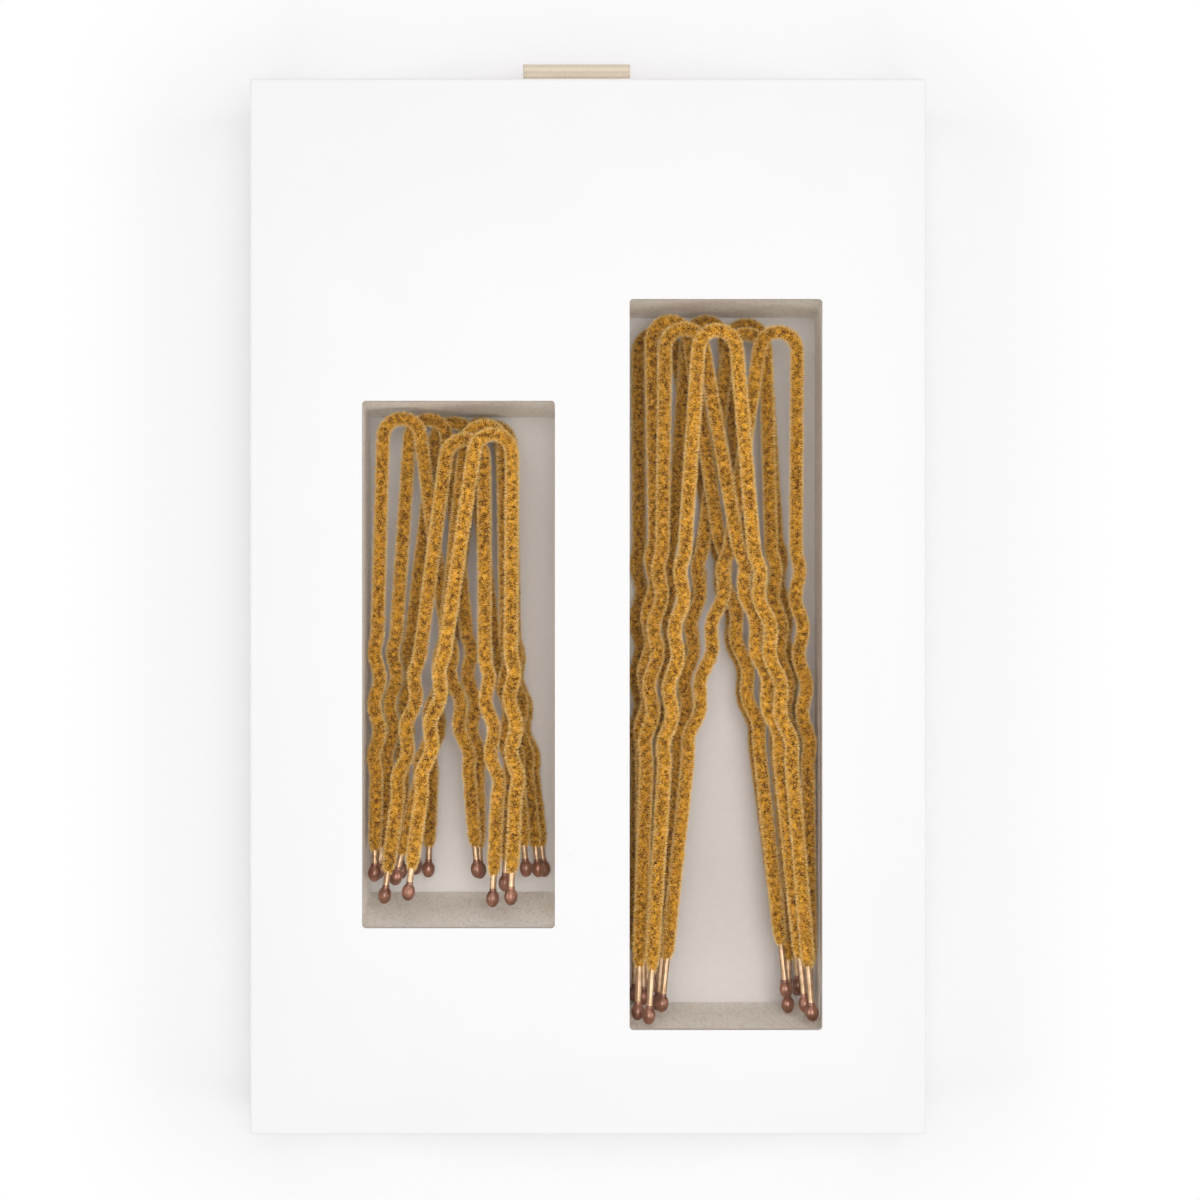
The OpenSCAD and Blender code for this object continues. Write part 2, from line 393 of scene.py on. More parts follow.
@dataclass(frozen=True)
class RawCard(Finish):
    """The bare pulp of the card where it is cut."""

    name: str
    pale: Colour
    dark: Colour
    grain: float
    plies: Point = (1.0, 1.0, 7.0)

    def shader(self, mix: Recipe) -> Signal:
        """Writes the pulp's shader.

        Args:
            mix: The recipe.

        Returns:
            The shader.
        """
        place = mix.place()
        pulp = mix.cloud(place, self.grain, 4.0, 0.65)
        ply = mix.cloud(mix.stretch(place, self.plies), 1.2, 2.0)
        shade = pulp * 0.65 + ply * 0.35
        return mix.surface(
            Base_Color=mix.ramp(shade, (0.32, self.dark), (0.62, self.pale)),
            Roughness=0.78 + pulp * 0.15,
            Normal=mix.bump(pulp, 0.02),
            Specular_IOR_Level=0.25,
        )


@dataclass(frozen=True)
class ClearFilm(Finish):
    """Film so clear that only its gloss and a little dust show."""

    name: str = "clear_film"
    tint: Colour = (0.97, 0.98, 1.0)
    veil: float = 0.002
    dust_a_mm: float = 0.45
    dust_reach: float = 0.018

    def shader(self, mix: Recipe) -> Signal:
        """Writes the film's shader.

        Args:
            mix: The recipe.

        Returns:
            The shader.
        """
        place = mix.place()
        haze = mix.cloud(place, 0.15, 3.0)
        dust = mix.cells(place, self.dust_a_mm) < self.dust_reach
        return mix.surface(
            Base_Color=self.tint,
            Roughness=0.05 + haze * 0.06,
            Alpha=self.veil + haze * 0.002 + dust * 0.12,
        )


@dataclass(frozen=True)
class FleckedFoam(Finish):
    """Beige foam with a fine grain, open pores and small glossy flecks painted near-white as
    glints; its walls are paler than its face, painted light for walls that get little light.
    """

    name: str = "flecked_foam"
    pale: Colour = (0.95, 0.91, 0.845)
    dark: Colour = (0.81, 0.745, 0.66)
    # The face's own tones; the paler wall tones above carry painted light.
    face_pale_without_painted_light: Colour = (0.85, 0.81, 0.75)
    face_dark_without_painted_light: Colour = (0.75, 0.69, 0.61)
    fleck_glint_white: Colour = (0.98, 0.97, 0.95)
    pores_a_mm: float = 2.8
    upright: Point = (1.0, 1.0, 0.3)
    fleck_cell: float = 0.42

    def shader(self, mix: Recipe) -> Signal:
        """Writes the foam's shader.

        Args:
            mix: The recipe.

        Returns:
            The shader.
        """
        place = mix.place()
        _, _, height = mix.parts(place)
        # Painted light: below the face the walls take paler tones than the face, for light that
        # hardly reaches into the wells.
        face = height.eased(PLAN.insert_top - Insert.lip_r, PLAN.insert_top)
        place = mix.stretch(place, self.upright)
        grain = mix.cloud(place, self.pores_a_mm, 4.0, 0.7)
        pores = mix.cells(place, self.pores_a_mm).eased(0.05, 0.6)
        # Flecks painted near-white as glints, partly real: they are also glossier than the foam.
        glossy_flecks_and_glints = mix.specks(place, self.fleck_cell, 0.3, bare=0.72)
        tone = grain * 0.8 + pores * 0.2
        body = mix.blend(
            face,
            mix.ramp(tone, (0.38, self.dark), (0.6, self.pale)),
            mix.ramp(tone, (0.38, self.face_dark_without_painted_light), (0.6, self.face_pale_without_painted_light)),
        )
        return mix.surface(
            Base_Color=mix.blend(glossy_flecks_and_glints, body, self.fleck_glint_white),
            Roughness=0.85 - glossy_flecks_and_glints * 0.55,
            Normal=mix.bump(grain, 0.03, mix.bump(pores, 0.03)),
            Sheen_Weight=0.4,
            Sheen_Roughness=0.45,
            Sheen_Tint=(1.0, 0.94, 0.87),
        )


@dataclass(frozen=True)
class Grosgrain(Finish):
    """Ribbed ribbon: warp threads over thick picks, from the ribbon's own coordinates."""

    name: str = "grosgrain"
    pale: Colour = (0.74, 0.64, 0.51)
    dark: Colour = (0.5, 0.41, 0.3)
    thread: float = 0.16

    def shader(self, mix: Recipe) -> Signal:
        """Writes the ribbon's shader.

        Args:
            mix: The recipe.

        Returns:
            The shader.
        """
        across, along, _ = mix.parts(mix.add("ShaderNodeUVMap", {"uv_map": Ribbon.WEAVE}))
        ply, rib = mix.wave(across, self.thread), mix.wave(along, Ribbon.rib_pitch)
        uneven = mix.cloud(mix.place(), 2.5, 3.0)
        tone = ply * 0.35 + rib * 0.35 + uneven * 0.3
        return mix.surface(
            Base_Color=mix.ramp(tone, (0.15, self.dark), (0.7, self.pale)),
            Roughness=0.7 - rib * 0.15,
            Normal=mix.bump(ply * 0.6 + uneven * 0.4, 0.03),
            Sheen_Weight=0.3,
            Sheen_Roughness=0.35,
        )


@dataclass(frozen=True)
class LacqueredWire(Finish):
    """Spring wire under a warm lacquer that thins out in places."""

    name: str = "lacquered_wire"
    lacquer: Colour = (0.48, 0.3, 0.16)
    bare: Colour = (0.66, 0.46, 0.29)
    drawing: Point = (14.0, 0.7, 14.0)

    def shader(self, mix: Recipe) -> Signal:
        """Writes the wire's shader.

        Args:
            mix: The recipe.

        Returns:
            The shader.
        """
        place = mix.place()
        wear = mix.cloud(place, 1.4, 4.0, 0.6)
        drawn = mix.cloud(mix.stretch(place, self.drawing), 1.0, 2.0)
        return mix.surface(
            Base_Color=mix.ramp(wear, (0.35, self.lacquer), (0.65, self.bare)),
            Metallic=0.75,
            Roughness=0.26 + drawn * 0.2,
            Normal=mix.bump(drawn, 0.008),
        )


@dataclass(frozen=True)
class DippedEnamel(Finish):
    """Copper-brown resin, dipped: glossy and a little cloudy."""

    name: str = "dipped_enamel"
    deep: Colour = (0.17, 0.065, 0.032)
    warm: Colour = (0.42, 0.18, 0.105)

    def shader(self, mix: Recipe) -> Signal:
        """Writes the beads' shader.

        Args:
            mix: The recipe.

        Returns:
            The shader.
        """
        place = mix.place()
        cloudy = mix.cloud(place, 1.1, 3.0, 0.6)
        peel = mix.cloud(place, 4.0, 2.0)
        return mix.surface(
            Base_Color=mix.ramp(cloudy, (0.35, self.deep), (0.68, self.warm)),
            Metallic=0.5,
            Roughness=0.36 + peel * 0.1,
            Normal=mix.bump(peel, 0.012),
            Coat_Weight=0.5,
            Coat_Roughness=0.2,
        )


@dataclass(frozen=True)
class Flock(Finish):
    """Golden-blonde nylon flock, tawny near the skin and pale at the fibres' tips: painted shade
    at the roots and in hollows, painted light at the tips.
    """

    name: str = "golden_flock"
    root: Colour = (0.12, 0.04, 0.0015)
    mid: Colour = (0.74, 0.37, 0.018)
    light: Colour = (1.0, 0.68, 0.19)
    tip: Colour = (1.0, 0.9, 0.62)
    clumps_a_mm: float = 2.6
    fibres_a_mm: float = 9.0

    def shader(self, mix: Recipe) -> Signal:
        """Writes the flock's shader.

        Args:
            mix: The recipe.

        Returns:
            The shader.
        """
        place = mix.place()
        # The reach carries painted light: low near the skin and in its hollows for painted shade,
        # high at the fibres' tips for painted light.
        reach = mix.add("ShaderNodeAttribute", {"attribute_name": FlockCoat.PAINTED_LIGHT_REACH}, out="Fac")
        clump = mix.cloud(place, self.clumps_a_mm, 3.0, 0.65).eased(0.34, 0.66)
        single = mix.cloud(place, self.fibres_a_mm, 1.0).eased(0.3, 0.7)
        tone = reach * 0.62 + clump * 0.26 + single * 0.12
        return mix.surface(
            Base_Color=mix.ramp(
                tone, (0.14, self.root), (0.44, self.mid), (0.66, self.light), (0.9, self.tip)
            ),
            Roughness=0.62,
            Specular_IOR_Level=0.08,
            Sheen_Weight=0.5,
            Sheen_Roughness=0.35,
            Sheen_Tint=(1.0, 0.7, 0.22),
        )


@dataclass(frozen=True)
class StudioPaper(Finish):
    """Pale paper that keeps the box's shadow and runs out into plain white round it."""

    name: str = "paper_floor"
    pale: Colour = (0.83, 0.823, 0.832)
    dimmest: float = 0.99
    halo: float = 22.0

    def shader(self, mix: Recipe) -> Signal:
        """Writes the floor's shader.

        Args:
            mix: The recipe.

        Returns:
            The shader.
        """
        place = mix.place()
        x, y, _ = mix.parts(place)
        out_x = (abs(x) - PLAN.sleeve_w / 2).at_least(0.0)
        out_y = (abs(y) - PLAN.sleeve_l / 2).at_least(0.0)
        away = (out_x * out_x + out_y * out_y) ** 0.5
        grain = mix.cloud(place, 2.0, 3.0)
        dim = dimmed(self.pale, self.dimmest)
        paper = mix.surface(
            Base_Color=mix.ramp(grain, (0.3, dim), (0.7, self.pale)),
            Roughness=0.9,
            Normal=mix.bump(grain, 0.01),
        )
        white = mix.add("ShaderNodeEmission", sockets={"Color": WHITE, "Strength": 1.0})
        share = mix.seen() * away.eased(0.0, self.halo)
        return mix.add("ShaderNodeMixShader", sockets={0: share, 1: paper, 2: white})


FINISHES: dict[Slot, tuple[Finish, ...]] = {
    Slot.SLEEVE: (
        CoatedCard(),
        RawCard("cut_card", pale=(0.8, 0.77, 0.74), dark=(0.62, 0.58, 0.54), grain=6.0),
    ),
    Slot.FILM: (ClearFilm(),),
    Slot.TRAY: (
        RawCard("tray_card", pale=(0.9, 0.872, 0.85), dark=(0.87, 0.84, 0.81), grain=3.0),
    ),
    Slot.FOAM: (FleckedFoam(),),
    Slot.RIBBON: (Grosgrain(),),
    Slot.WIRE: (LacqueredWire(),),
    Slot.FLOCK: (Flock(),),
    Slot.TIPS: (DippedEnamel(),),
}


@cache
def materials(slot: Slot) -> list[bpy.types.Material]:
    """The materials of one of the record's finishes, mixed when first asked for."""
    return [finish.mix() for finish in FINISHES[slot]]


# Bench


def put(name: str, data: bpy.types.ID) -> bpy.types.Object:
    """Puts a new object with this data in the scene."""
    made = bpy.data.objects.new(name, data)
    bpy.context.scene.collection.objects.link(made)
    return made


def block(low: Point, high: Point) -> bmesh.types.BMesh:
    """A box.

    Args:
        low: Its lowest corner.
        high: Its highest corner.

    Returns:
        The mesh.
    """
    bm = bmesh.new()
    bmesh.ops.create_cube(bm, size=1.0)
    low_v, high_v = Vector(low), Vector(high)
    bmesh.ops.scale(bm, vec=high_v - low_v, verts=bm.verts)
    bmesh.ops.translate(bm, vec=(high_v + low_v) / 2, verts=bm.verts)
    return bm


def round_edges(
    bm: bmesh.types.BMesh, radius: float, segments: int, along: int | None = None
) -> None:
    """Bevels the edges of a mesh.

    Args:
        bm: The mesh.
        radius: The bevel's width.
        segments: Its segments.
        along: 0, 1 or 2 to take only the edges along x, y or z.
    """
    def runs(edge: bmesh.types.BMEdge) -> bool:
        """Whether an edge is one of those wanted."""
        way = (edge.verts[1].co - edge.verts[0].co).normalized()
        return along is None or abs(way[along]) > 0.99

    bmesh.ops.bevel(
        bm, geom=[e for e in bm.edges if runs(e)], offset=radius, offset_type="OFFSET",
        segments=segments, profile=0.5, affect="EDGES", material=-1, clamp_overlap=True,
    )


def sealed(bm: bmesh.types.BMesh, mesh: bpy.types.Mesh) -> bpy.types.Mesh:
    """Merges the doubles of a mesh and turns its faces outwards.

    Args:
        bm: The mesh, which is freed.
        mesh: Where it is written.

    Returns:
        The written mesh.
    """
    bmesh.ops.remove_doubles(bm, verts=bm.verts, dist=WELD)
    bmesh.ops.recalc_face_normals(bm, faces=bm.faces)
    bm.to_mesh(mesh)
    bm.free()
    return mesh


def as_object(bm: bmesh.types.BMesh, name: str) -> bpy.types.Object:
    """Makes a mesh an object, still in millimetres.

    Args:
        bm: The mesh, which is freed.
        name: The object's name.

    Returns:
        The object.
    """
    mesh = bpy.data.meshes.new(name)
    bm.to_mesh(mesh)
    bm.free()
    return put(name, mesh)


def settle(made: bpy.types.Object) -> None:
    """Applies the modifiers of an object.

    Args:
        made: The object.
    """
    graph = bpy.context.evaluated_depsgraph_get()
    mesh = bpy.data.meshes.new_from_object(
        made.evaluated_get(graph), preserve_all_data_layers=True, depsgraph=graph
    )
    mesh.name = made.name
    made.modifiers.clear()
    made.data = mesh


def carve(made: bpy.types.Object, cutters: Sequence[bmesh.types.BMesh]) -> None:
    """Cuts shapes out of an object.

    Args:
        made: The object.
        cutters: The shapes that come out, which are freed.
    """
    tools = [as_object(bm, f"cutter_{i}") for i, bm in enumerate(cutters)]
    for tool in tools:
        cut = made.modifiers.new("cut", "BOOLEAN")
        cut.operation, cut.solver, cut.object = "DIFFERENCE", "EXACT", tool
    settle(made)
    for tool in tools:
        bpy.data.objects.remove(tool)


def soften(made: bpy.types.Object, width: float, segments: int) -> None:
    """Bevels the sharp edges of an object and keeps its flat faces flat.

    Args:
        made: The object.
        width: The bevel's width.
        segments: Its segments.
    """
    made.data.shade_smooth()
    bevel = made.modifiers.new("soften", "BEVEL")
    bevel.limit_method, bevel.angle_limit = "ANGLE", math.radians(40)
    bevel.width, bevel.segments, bevel.harden_normals = width, segments, True
    settle(made)


def hand_over(made: bpy.types.Object, body: Body, slot: Slot, node: str) -> None:
    """Brings a piece to metres, dresses it and gives it to the frame.

    Args:
        made: The piece, in millimetres.
        body: The body that it rides on.
        slot: The record's finish.
        node: The CAD node that it stands for.
    """
    made.data.transform(Matrix.Scale(MM, 4))
    for i, material in enumerate(materials(slot)):
        if i < len(made.data.materials):
            made.data.materials[i] = material
        else:
            made.data.materials.append(material)
    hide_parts(node)
    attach(made, body.value)
    log.info("%s: %d faces", made.name, len(made.data.polygons))


def dress_node(node: str, slot: Slot) -> None:
    """Gives a CAD node its finish.

    Args:
        node: Its name.
        slot: The record's finish.
    """
    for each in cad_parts[node].material_slots:
        each.material = materials(slot)[0]
    log.info("%s: dressed", node)


# Sizes of the box


@dataclass(frozen=True)
class Plan:
    """The box's lines and heights in millimetres, as the construction has them."""

    card_t: float = 1.0
    sleeve_w: float = 62.5
    sleeve_l: float = 97.6
    sleeve_h: float = 16.4
    window_w: float = 17.8
    window_mid: float = -5.35
    film_z: float = 15.2
    film_t: float = 0.2
    tray_w: float = 60.0
    tray_foot: float = -47.55
    tray_head: float = 48.5
    tray_wall_t: float = 1.0
    floor_z: float = 2.25
    insert_h: float = 12.6
    insert_gap: float = 0.1
    side_lap: float = 0.4
    end_lap: float = 0.3
    ribbon_z: float = 8.1

    @property
    def wall_inside(self) -> float:
        """The inner face of the tray's head wall."""
        return self.tray_head - self.tray_wall_t

    @property
    def insert_top(self) -> float:
        """The face of the foam insert."""
        return self.floor_z + self.insert_h


PLAN = Plan()


@dataclass(frozen=True)
class Well:
    """A window and the well under it."""

    left: float
    length: float
    head_draft: float
    foot_draft: float

    @property
    def wall_left(self) -> float:
        """The well's left wall."""
        return self.left - PLAN.side_lap

    @property
    def width(self) -> float:
        """The well's width."""
        return PLAN.window_w + 2 * PLAN.side_lap

    @property
    def head(self) -> float:
        """The window's head edge."""
        return PLAN.window_mid + self.length / 2

    @property
    def foot(self) -> float:
        """The window's foot edge."""
        return PLAN.window_mid - self.length / 2


WELLS = {
    Size.LONG: Well(left=3.85, length=67.5, head_draft=0.6, foot_draft=0.8),
    Size.SHORT: Well(left=-20.85, length=48.7, head_draft=0.9, foot_draft=2.2),
}


# The box


@dataclass
class Sleeve:
    """The white card case with its two windows and the film behind them."""

    outer_r: float = 0.32
    corner_r: float = 0.35
    cut_r: float = 0.07
    groove_w: float = 0.14
    groove_d: float = 0.12
    seam_share: float = 0.22
    flap_share: float = 0.3
    mouth_d: float = 0.2
    standing: float = 0.6
    facing: float = 0.9

    def window(self, well: Well) -> bmesh.types.BMesh:
        """The cutter of one window.

        Args:
            well: The well under it.

        Returns:
            The cutter, rounded at its corners.
        """
        bm = block(
            (well.left, well.foot, PLAN.film_z + PLAN.film_t - OVERSHOOT / 2),
            (well.left + PLAN.window_w, well.head, PLAN.sleeve_h + OVERSHOOT),
        )
        round_edges(bm, self.corner_r, 6, along=2)
        return bm

    def grooves(self) -> list[bmesh.types.BMesh]:
        """The joints of the folded card, under the case and on its closed foot.

        Returns:
            Their cutters.
        """
        w, l, width, depth = PLAN.sleeve_w, PLAN.sleeve_l, self.groove_w, self.groove_d
        x, z = w * self.seam_share, PLAN.sleeve_h * self.flap_share
        return [
            block((x, -l, -OVERSHOOT), (x + width, l, depth)),
            block((-w, -l / 2 - OVERSHOOT, z), (w, depth - l / 2, z + width)),
        ]

    def is_cut(self, face: bpy.types.MeshPolygon) -> bool:
        """Whether a face of the case is a cut edge.

        Args:
            face: The face.

        Returns:
            True in a window and at the mouth.
        """
        half_w, half_l, t = PLAN.sleeve_w / 2, PLAN.sleeve_l / 2, PLAN.card_t
        x, y, z = face.center
        inner = abs(x) < half_w - 3 * t and abs(y) < half_l - 3 * t
        in_window = inner and z > PLAN.sleeve_h - t and abs(face.normal.z) < self.standing
        return in_window or (face.normal.y > self.facing and y > half_l - self.mouth_d)

    def build(self) -> None:
        """Builds the case and dresses the film."""
        w, l, h, t = PLAN.sleeve_w, PLAN.sleeve_l, PLAN.sleeve_h, PLAN.card_t
        bm = block((-w / 2, -l / 2, 0.0), (w / 2, l / 2, h))
        round_edges(bm, self.outer_r, 4)
        case = as_object(bm, "sleeve_case")
        hollow = block((t - w / 2, t - l / 2, t), (w / 2 - t, l / 2 + OVERSHOOT, h - t))
        carve(case, [hollow, *(self.window(well) for well in WELLS.values()), *self.grooves()])
        soften(case, self.cut_r, 2)
        for face in case.data.polygons:
            if self.is_cut(face):
                face.material_index = 1
        hand_over(case, Body.SLEEVE, Slot.SLEEVE, "sleeve")
        dress_node("window_film", Slot.FILM)


@dataclass
class Insert:
    """The foam insert: a block with two wells and a pocket for the ribbon's tails."""

    lip_r: float = 0.22
    pocket_w: float = 10.6
    pocket_h: float = 10.4
    pocket_d: float = 0.5
    fill: float = 1.0

    def well(self, well: Well) -> bmesh.types.BMesh:
        """The cutter of one well.

        Args:
            well: The well.

        Returns:
            The cutter, whose ends lean in towards the floor.
        """
        bm = block(
            (well.wall_left, well.foot - PLAN.end_lap, PLAN.floor_z - OVERSHOOT),
            (well.wall_left + well.width, well.head + PLAN.end_lap, PLAN.insert_top + OVERSHOOT),
        )
        for v in bm.verts:
            rise = (v.co.z - PLAN.floor_z) / PLAN.insert_h - 1
            at_head = v.co.y > PLAN.window_mid
            v.co.y += rise * well.head_draft if at_head else -rise * well.foot_draft
        return bm

    def build(self) -> None:
        """Builds the insert."""
        side = PLAN.tray_wall_t + PLAN.insert_gap
        body = block(
            (side - PLAN.tray_w / 2, PLAN.tray_foot + side, PLAN.floor_z),
            (PLAN.tray_w / 2 - side, PLAN.tray_head - side, PLAN.insert_top),
        )
        x, y, z = Ribbon.shift, PLAN.wall_inside, PLAN.ribbon_z
        half_w, half_h = self.pocket_w / 2, self.pocket_h / 2
        pocket = block(
            (x - half_w, y - self.pocket_d, z - half_h), (x + half_w, y + OVERSHOOT, z + half_h)
        )
        insert = as_object(body, "insert_foam")
        carve(insert, [*(self.well(well) for well in WELLS.values()), pocket])
        soften(insert, self.lip_r, 3)
        hand_over(insert, Body.TRAY, Slot.FOAM, "foam_insert")


@dataclass
class Ribbon:
    """The grosgrain pull: a loop through the tray's slot, with two tails behind the wall."""

    WEAVE = "weave"
    shift: float = -1.1
    width: float = 10.2
    thick: float = 0.26
    tail: float = 4.9
    eye_y: float = 51.0
    eye_r: float = 0.62
    wall_gap: float = 0.01
    ply_gap: float = 0.02
    rib_pitch: float = 0.52
    rib_h: float = 0.045
    nip: float = 0.05
    columns: int = 34
    steps_a_rib: int = 6

    def line(self) -> np.ndarray:
        """The ribbon's middle line, from one tail round the loop to the other.

        Returns:
            Its points in y and z.
        """
        wall = PLAN.wall_inside - self.thick / 2 - self.wall_gap
        ply = self.thick / 2 + self.ply_gap
        turn = math.asin(ply / self.eye_r)
        eye = [
            (self.eye_y - self.eye_r * math.cos(a), self.eye_r * math.sin(a))
            for a in np.linspace(turn, 2 * math.pi - turn, 40)
        ]
        corners = [(wall, self.tail), (wall, ply), *eye, (wall, -ply), (wall, -self.tail)]
        rounded = smoothed(evenly(np.array(corners), 0.05), 3)
        return evenly(rounded, self.rib_pitch / self.steps_a_rib)

    def build(self) -> None:
        """Builds the ribbon."""
        line = self.line()
        rows = len(line) - 1
        step = float(np.linalg.norm(line[1] - line[0]))
        way = np.gradient(line, axis=0)
        way /= np.linalg.norm(way, axis=1)[:, None]
        bm = bmesh.new()
        bmesh.ops.create_grid(bm, x_segments=self.columns, y_segments=rows, size=0.5)
        weave = bm.loops.layers.uv.new(self.WEAVE)
        for face in bm.faces:
            for loop in face.loops:
                u, v = loop.vert.co.x + 0.5, loop.vert.co.y + 0.5
                loop[weave].uv = (u * self.width, v * rows * step)
        for v in bm.verts:
            across, row = v.co.x, round((v.co.y + 0.5) * rows)
            rib = abs(math.sin(math.pi * row / self.steps_a_rib))
            lift = self.rib_h * (rib - 0.5)
            edge = (0.5 - abs(across)) * self.width
            narrow = self.nip * (1 - rib) * (1 if edge < 0.01 else 0)
            (y, z), (dy, dz) = line[row], way[row]
            x = self.shift + across * (self.width - 2 * narrow)
            v.co = (x, y + dz * lift, PLAN.ribbon_z + z - dy * lift)
        ribbon = as_object(bm, "ribbon_loop")
        ribbon.data.shade_smooth()
        solid = ribbon.modifiers.new("thickness", "SOLIDIFY")
        solid.thickness, solid.offset = self.thick - 2 * self.rib_h, 0.0
        settle(ribbon)
        hand_over(ribbon, Body.TRAY, Slot.RIBBON, "ribbon_pull")


# Hairpins


def evenly(line: np.ndarray, step: float) -> np.ndarray:
    """Spaces points evenly along a line.

    Args:
        line: Its points.
        step: The distance wanted between points.

    Returns:
        The new points, with the same two ends.
    """
    runs = np.concatenate([[0.0], np.cumsum(np.linalg.norm(np.diff(line, axis=0), axis=1))])
    at = np.linspace(0.0, runs[-1], max(2, round(runs[-1] / step)) + 1)
    return np.stack([np.interp(at, runs, line[:, i]) for i in range(line.shape[1])], axis=1)


def smoothed(line: np.ndarray, reach: int) -> np.ndarray:
    """Rounds the corners of an evenly spaced line, and keeps its ends.

    Args:
        line: Its points.
        reach: How many points on each side weigh in.

    Returns:
        The smoothed points.
    """
    n = 2 * reach
    weights = np.exp(-0.5 * (np.arange(-n, n + 1) / reach) ** 2)
    weights /= weights.sum()
    before, after = 2 * line[0] - line[n:0:-1], 2 * line[-1] - line[-2 : -n - 2 : -1]
    longer = np.concatenate([before, line, after])
    columns = [np.convolve(longer[:, i], weights, mode="valid") for i in range(line.shape[1])]
    return np.stack(columns, axis=1)


def trimmed(line: np.ndarray, length: float) -> np.ndarray:
    """Takes a length off both ends of an evenly spaced line."""
    n = round(length / float(np.linalg.norm(line[1] - line[0])))
    return line[n : len(line) - n]


@dataclass(frozen=True)
class Leg:
    """Where a leg starts its waves, ends them and has its bead, as shares of the well's width."""

    first: float
    last: float
    bead: float


@dataclass(frozen=True)
class Lie:
    """How a hairpin lies: its bend across the well, the gap above it and its two legs."""

    bend: float
    gap: float
    left: Leg
    right: Leg


def lie(bend: float, gap: float, *shares: float) -> Lie:
    """One row of the table of places."""
    return Lie(bend, gap, Leg(*shares[:3]), Leg(*shares[3:]))


@dataclass(frozen=True)
class PinPattern:
    """What the hairpins of one size share, in millimetres."""

    size: Size
    first_seed: int
    length: float
    play: float
    wave_start: float
    wave_l: float
    waves: float
    neck: float
    lies: tuple[Lie, ...]
    coat_d: float = 1.45
    wire_d: float = 0.6
    bend_w: float = 3.6
    bead_d: float = 1.25
    bead_l: float = 1.65
    wave_h: float = 0.3
    pile_gap: float = 0.05
    points_a_turn: int = 24

    def height(self, layer: int) -> float:
        """The height of a layer's middle, where the bottom layer is 0."""
        pitch = self.coat_d + self.pile_gap
        return PLAN.floor_z + self.pile_gap + self.coat_d / 2 + layer * pitch

    def leg(self, start: np.ndarray, leg: Leg, hand: int) -> np.ndarray:
        """The middle line of a leg.

        Args:
            start: Where the bend ends.
            leg: The leg's places.
            hand: -1 for the left leg and 1 for the right one.

        Returns:
            Its points from the bend down.
        """
        width = WELLS[self.size].width

        def down(point: np.ndarray, share: float, run: float) -> np.ndarray:
            """The end of a straight run."""
            x = share * width
            return np.array([x, point[1] - math.sqrt(run * run - (x - point[0]) ** 2)])

        top = self.coat_d / 2 + self.bend_w / 2
        first = down(start, leg.first, self.wave_start - top)
        last = down(first, leg.last, self.waves * self.wave_l)
        rest = self.length - self.wave_start - self.waves * self.wave_l - self.bead_l / 2
        foot = down(last, leg.bead, rest)
        way = (last - first) / np.linalg.norm(last - first)
        out = hand * self.wave_h * np.array([-way[1], way[0]])
        share = np.linspace(0.0, 1.0, round(self.waves * self.points_a_turn) + 1)[:, None]
        waves = first + (last - first) * share + out * np.sin(2 * math.pi * self.waves * share)
        return np.vstack([start, waves, foot])

    def line(self, place: Lie) -> np.ndarray:
        """The middle line of a hairpin in the frame.

        Args:
            place: How it lies.

        Returns:
            Its points from the left bead to the right one.
        """
        well = WELLS[self.size]
        r = self.bend_w / 2
        middle = np.array([place.bend * well.width, -place.gap * self.play - self.coat_d / 2 - r])
        turn = np.linspace(math.pi, 0.0, self.points_a_turn)[1:-1, None]
        bend = middle + r * np.hstack([np.cos(turn), np.sin(turn)])
        left = self.leg(middle - [r, 0.0], place.left, -1)
        right = self.leg(middle + [r, 0.0], place.right, 1)
        whole = np.vstack([left[::-1], bend, right]) + [well.wall_left, well.head]
        return smoothed(evenly(whole, 0.1), 4)


LONG = PinPattern(
    size=Size.LONG, first_seed=100, length=65.8, play=1.7, wave_start=21.8, wave_l=5.5, waves=3.5,
    neck=3.5,
    lies=(
        lie(0.17, 0.64, 0.08, 0.07, 0.055, 0.475, 0.68, 0.85),
        lie(0.635, 0.24, 0.41, 0.27, 0.15, 0.795, 0.9, 0.9),
        lie(0.42, 0.16, 0.25, 0.195, 0.115, 0.625, 0.78, 0.9),
        lie(0.63, 0.95, 0.4, 0.28, 0.17, 0.755, 0.865, 0.84),
        lie(0.235, 0.32, 0.155, 0.09, 0.095, 0.485, 0.685, 0.825),
        lie(0.78, 0.99, 0.53, 0.325, 0.19, 0.87, 0.93, 0.945),
        lie(0.3, 0.91, 0.19, 0.11, 0.065, 0.575, 0.78, 0.91),
        lie(0.465, 1.07, 0.3, 0.2, 0.12, 0.65, 0.835, 0.94),
    ),
)
SHORT = PinPattern(
    size=Size.SHORT, first_seed=200, length=44.8, play=3.9, wave_start=21.7, wave_l=5.0,
    waves=2.5, neck=1.4,
    lies=(
        lie(0.64, 0.19, 0.43, 0.31, 0.24, 0.755, 0.85, 0.91),
        lie(0.59, 0.15, 0.4, 0.33, 0.31, 0.745, 0.82, 0.88),
        lie(0.445, 0.15, 0.225, 0.185, 0.175, 0.655, 0.775, 0.82),
        lie(0.32, 0.1, 0.155, 0.115, 0.065, 0.52, 0.575, 0.585),
        lie(0.19, 0.1, 0.065, 0.06, 0.05, 0.42, 0.53, 0.575),
        lie(0.615, 0.3, 0.41, 0.29, 0.165, 0.725, 0.735, 0.72),
        lie(0.52, 0.65, 0.29, 0.185, 0.115, 0.62, 0.685, 0.66),
        lie(0.665, 0.55, 0.42, 0.31, 0.24, 0.755, 0.78, 0.755),
    ),
)


